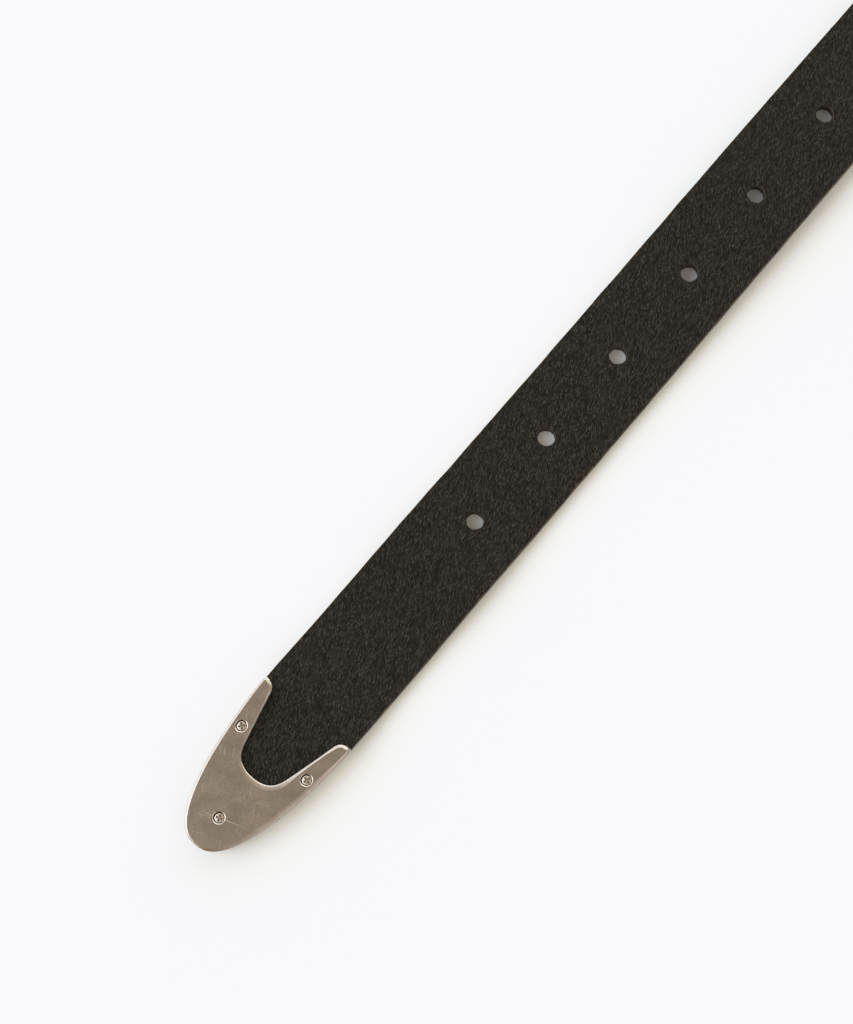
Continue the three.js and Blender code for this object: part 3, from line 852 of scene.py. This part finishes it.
def make_keeper():
    """A band of grain leather round the strap and the flap, with a crease along each edge and its
    ends butted underneath"""
    bm = bmesh.new()
    flat_layer = bm.verts.layers.float_vector.new("flat")
    low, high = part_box("keeper")
    near = (low.x - NOSE) / MM
    width = (high.x - low.x) / MM
    half = high.y / MM
    top = high.z / MM
    seam = [(-SEAM_HALF, 0), (0, SEAM_DEEP), (SEAM_HALF, 0)]
    drawn(bm, [(-half, 0), *seam, (half, 0), (half, top), (-half, top)])
    cornered(bm, [v for v in bm.verts if abs(v.co.x) > 1], KEEPER_CORNER, segments=8)
    creases = (CREASE_IN, width - CREASE_IN)
    flanks = [c + side for c in creases for side in (-CREASE_HALF, CREASE_HALF)]
    rows = sorted([*creases, *flanks, width])
    ring = bm.edges[:]
    for start, end in zip([0, *rows], rows):
        ring = carried(bm, ring, (0, 0, end - start))
    bmesh.ops.recalc_face_normals(bm, faces=bm.faces)
    bmesh.ops.solidify(bm, geom=bm.faces[:], thickness=KEEPER_THICK)
    bmesh.ops.recalc_face_normals(bm, faces=bm.faces)
    arris = [
        e for e in bm.edges
        if len(e.link_faces) == 2 and abs(e.calc_face_angle() - QUARTER) < 0.1
        and abs(e.verts[0].co.z - e.verts[1].co.z) < 1e-4
    ]
    rounded(bm, arris, KEEPER_ROUND, segments=3)
    for v in bm.verts:
        outward = v.co.xy - Vector((0, top / 2))
        if min(abs(v.co.z - crease) for crease in creases) < 0.01 and v.normal.xy.dot(outward) > 0:
            v.co -= v.normal * CREASE_DEEP
        v[flat_layer] = v.co.zxy + KEEPER_ASIDE
    for face in bm.faces:
        face.material_index = 0 if abs(face.normal.z) < 0.5 else 1
    bmesh.ops.rotate(bm, verts=bm.verts, matrix=UPRIGHT)
    bmesh.ops.translate(bm, verts=bm.verts, vec=(near, 0, 0))
    return set_on_belt("keeper", bm, [GRAIN, EDGE])


def make_stitches():
    """The stitches that fasten the fold: a row beside the bar and three sides of a box at the
    flap's end, on the flap's top and on the strap's underside"""
    bm = bmesh.new()
    across = [(u, y, 90) for u in STITCH_ROWS for y in spaced(-STITCH_OUT, STITCH_OUT)]
    sides = [(u, side * STITCH_OUT, 0) for u in spaced(*STITCH_SIDES) for side in (-1, 1)]
    for u, y, turn in across + sides:
        slant = Matrix.Rotation(math.radians(turn + STITCH_LEAN), 3, "Z")
        for s in (u, BAR + FOLD + BAR - u):
            verts = bmesh.ops.create_uvsphere(
                bm, u_segments=8, v_segments=6, radius=THREAD_RADIUS,
            )["verts"]
            bmesh.ops.rotate(bm, verts=verts, matrix=Matrix.Rotation(QUARTER, 3, "Y"))
            bmesh.ops.scale(bm, vec=STITCH_SHAPE, verts=verts)
            bmesh.ops.rotate(bm, verts=verts, matrix=slant)
            bmesh.ops.translate(bm, verts=verts, vec=(s, y, -THICK / 2 - STITCH_PROUD))
    for v in bm.verts:
        v.co = bent(v.co)
    bmesh.ops.recalc_face_normals(bm, faces=bm.faces)
    return set_on_belt("stitches", bm, [THREAD], replaces=False, crease=80)


def spaced(start, end):
    """Places a stitch's pitch apart, evenly from start to end"""
    count = round((end - start) / STITCH_PITCH)
    return [mix(start, end, k / count) for k in range(count + 1)]


# Buckle


def make_buckle():
    """The buckle as one piece: rails and crossbar drawn round from one section, the bar, and the
    prong"""
    bm = bmesh.new()
    middle, level = RAIL_WIDTH / 2, RAIL_THICK / 2
    turn_at = BUCKLE_FRONT - BUCKLE_CORNER
    drawn(bm, [(-middle, -level), (middle, -level), (middle, level), (-middle, level)])
    cornered(bm, bm.verts[:], RAIL_ROUND, segments=5)
    bmesh.ops.rotate(bm, verts=bm.verts, matrix=UPRIGHT)
    bmesh.ops.translate(bm, verts=bm.verts, vec=(-BEHIND_BAR, middle - BUCKLE_HALF, 0))
    bmesh.ops.contextual_create(bm, geom=bm.edges[:])
    end = bm.edges[:]

    def turned(edges, centre):
        """Spins the section a quarter round a corner. Returns it at the far end."""
        made = bmesh.ops.spin(
            bm, geom=edges, cent=centre, axis=(0, 0, 1), angle=QUARTER, steps=12,
            use_duplicate=False,
        )["geom_last"]
        return [e for e in made if isinstance(e, bmesh.types.BMEdge)]

    corner = BUCKLE_HALF - BUCKLE_CORNER
    end = carried(bm, end, (turn_at + BEHIND_BAR, 0, 0))
    end = turned(end, (turn_at, -corner, 0))
    flank = NOTCH_HALF + NOTCH_FLANK
    stops = (-corner, -flank, -NOTCH_HALF, NOTCH_HALF, flank, corner)
    for start, stop in zip(stops, stops[1:]):
        end = carried(bm, end, (0, stop - start, 0))
    end = turned(end, (turn_at, corner, 0))
    end = carried(bm, end, (-turn_at - BEHIND_BAR, 0, 0))
    bmesh.ops.contextual_create(bm, geom=end)
    bmesh.ops.recalc_face_normals(bm, faces=bm.faces)
    caps = [f for f in bm.faces if f.normal.x < -0.99]
    rounded(bm, list({e for f in caps for e in f.edges}), RAIL_END_ROUND, segments=4)
    # The notch that the prong's end lies in, in the crossbar's lower side
    for v in bm.verts:
        if abs(v.co.y) < NOTCH_HALF + 0.01 and v.co.x < BUCKLE_FRONT - NOTCH_SHORT:
            v.co.z = max(v.co.z, NOTCH_CEILING)
    bmesh.ops.create_cone(
        bm, cap_ends=True, segments=32, radius1=BAR_RADIUS, radius2=BAR_RADIUS,
        depth=2 * BUCKLE_HALF - RAIL_WIDTH, matrix=Matrix.Rotation(QUARTER, 4, "X"),
    )
    add_prong(bm)
    bmesh.ops.rotate(bm, verts=bm.verts, matrix=Matrix.Rotation(BUCKLE_TILT, 3, "Y"))
    bmesh.ops.translate(bm, verts=bm.verts, vec=(BAR, 0, BAR_HEIGHT))
    return set_on_belt("buckle", bm, [SATIN, RECESS_SHADE])


def add_prong(bm):
    """The prong, flat as the buckle is: an eye round the bar, and a shank that ends flush in the
    notch"""
    eye = bmesh.ops.create_cone(
        bm, cap_ends=True, segments=32, radius1=EYE_RADIUS, radius2=EYE_RADIUS,
        depth=PRONG_WIDTH, matrix=Matrix.Rotation(QUARTER, 4, "X"),
    )["verts"]
    rims = {e for v in eye for e in v.link_edges if abs(e.verts[0].co.y - e.verts[1].co.y) < 1e-4}
    rounded(bm, list(rims), EYE_ROUND, segments=3)
    shank = bmesh.ops.create_cube(bm, size=1)["verts"]
    bmesh.ops.scale(bm, vec=(PRONG_END, PRONG_WIDTH, PRONG_THICK), verts=shank)
    bmesh.ops.translate(bm, verts=shank, vec=(PRONG_END / 2, 0, 0))
    edges = {e for v in shank for e in v.link_edges}
    made = bmesh.ops.bevel(
        bm, geom=list(edges), offset=PRONG_ROUND, segments=4,
        affect="EDGES", profile=0.5, material=-1,
    )
    parts = {*made["faces"], *(f for v in made["verts"] for f in v.link_faces)}
    # Cuts every 2 mm let it taper and bend down to the notch
    for k in range(1, 14):
        parts = {*parts, *(e for f in parts for e in f.edges), *(v for f in parts for v in f.verts)}
        cut = bmesh.ops.bisect_plane(
            bm, geom=list(parts), plane_co=(k * 2, 0, 0), plane_no=(1, 0, 0), dist=1e-4,
        )
        parts = {f for f in cut["geom"] if isinstance(f, bmesh.types.BMFace)}
    for v in {v for f in parts for v in f.verts}:
        share = v.co.x / PRONG_END
        v.co.y *= mix(1, PRONG_TAPER, share)
        v.co.z = (v.co.z + PRONG_THICK / 2) * mix(1, PRONG_TAPER, share) - PRONG_THICK / 2
        v.co.z += (PRONG_THICK - RAIL_THICK) / 2 * smooth(share)


make_strap()
make_tip()
for screw in SCREWS:
    make_screw(*screw)
make_keeper()
make_stitches()
make_buckle()


# Stage


def bearing_to(bearing, height):
    """A direction, as a unit vector"""
    level = math.cos(height)
    return (math.cos(bearing) * level, math.sin(bearing) * level, math.sin(height))


def make_floor():
    """A square of paper, 4 m to either side of the middle"""
    bm = bmesh.new()
    bmesh.ops.create_grid(bm, x_segments=1, y_segments=1, size=4)
    mesh = bpy.data.meshes.new("floor")
    bm.to_mesh(mesh)
    bm.free()
    mesh.materials.append(paper())
    floor = bpy.data.objects.new("floor", mesh)
    bpy.context.collection.objects.link(floor)


# The room's light: the bearing and height in degrees that each broad light is centred on, and its
# colour and strength. Tall windows stand along the belt's left edge, and a pale wall on its right
# throws some back.
ROOM_LIGHTS = (
    (135, 32, (3.25, 3.88, 4.25)),
    (135, 6, (3.0, 2.8, 2.9)),
    (90, 6, (1.5, 1.8, 2.0)),
    (45, 6, (4.1, 4.3, 4.6)),
    (0, 6, (4.0, 4.3, 3.8)),
    (270, 32, (1.5, 1.6, 1.65)),
)
ROOM_DIM = (0.445, 0.33, 0.195)  # the rest of the room, warm
FALL_OFF = 8  # the power of the cosine by which a broad light fades from its middle


def make_room():
    """The world: the dim room with its broad lights added"""
    world = bpy.data.worlds.new("room")
    bpy.context.scene.world = world
    world.use_nodes = True
    tree = world.node_tree
    towards = add(tree, "TexCoord").outputs["Generated"]
    light = ROOM_DIM
    for bearing, height, colour in ROOM_LIGHTS:
        way = bearing_to(math.radians(bearing), math.radians(height))
        facing = add(tree, "VectorMath", {
            0: towards, 1: way,
        }, operation="DOT_PRODUCT").outputs["Value"]
        facing = add(tree, "Math", {0: facing, 1: 0}, operation="MAXIMUM").outputs[0]
        spread = add(tree, "Math", {0: facing, 1: FALL_OFF}, operation="POWER").outputs[0]
        lobe = add(tree, "VectorMath", {0: colour, "Scale": spread}, operation="SCALE").outputs[0]
        light = add(tree, "VectorMath", {0: light, 1: lobe}, operation="ADD").outputs[0]
    tree.links.new(light, tree.nodes["Background"].inputs["Color"])


# Points of the picture's tone curves, each the light before and after. The last one is the end.
TONES = (
    (0.3, 0.3), (0.45, 0.47), (0.6, 0.65), (0.7, 0.735), (0.8, 0.81), (0.9, 0.87),
    (1.0, 0.912), (1.2, 0.95), (1.5, 0.965), (3, 0.98),
)
BLUES = ((0.5, 0.5), (0.9, 0.9), (1.0, 1.01), (1.12, 1.3), (3, 3))


def press_highlights():
    """The photograph's tones: a little contrast in the middle, and a soft shoulder up to the white
    paper, which it shows a trace cool"""
    view = bpy.context.scene.view_settings
    view.view_transform = "Standard"
    view.use_curve_mapping = True
    mapping = view.curve_mapping
    mapping.clip_max_x = mapping.clip_max_y = TONES[-1][0]
    for curve, (*places, end) in ((mapping.curves[3], TONES), (mapping.curves[2], BLUES)):
        curve.points[1].location = end
        for place in places:
            curve.points.new(*place)
    mapping.update()


# Where the camera looks, and where it stands as seen from there, with its distance in metres
LOOKS_AT = TO_FRAME @ Vector((107.19, 11.64, 3))
CAMERA_BEARING = -0.8657 - QUARTER
CAMERA_HEIGHT = math.radians(78)
CAMERA_AWAY = 0.52
LENS, SENSOR = 67.24, 36


def make_camera():
    """The photograph's view: from almost overhead, half a metre off"""
    back = Vector(bearing_to(CAMERA_BEARING, CAMERA_HEIGHT))
    lens = bpy.data.cameras.new("camera")
    lens.sensor_width = SENSOR
    lens.lens = LENS
    lens.clip_start = 0.01
    camera = bpy.data.objects.new("camera", lens)
    camera.location = LOOKS_AT + back * CAMERA_AWAY
    camera.rotation_mode = "QUATERNION"
    camera.rotation_quaternion = (-back).to_track_quat("-Z", "Y")
    bpy.context.collection.objects.link(camera)
    bpy.context.scene.camera = camera


make_floor()
make_camera()
make_room()
press_highlights()
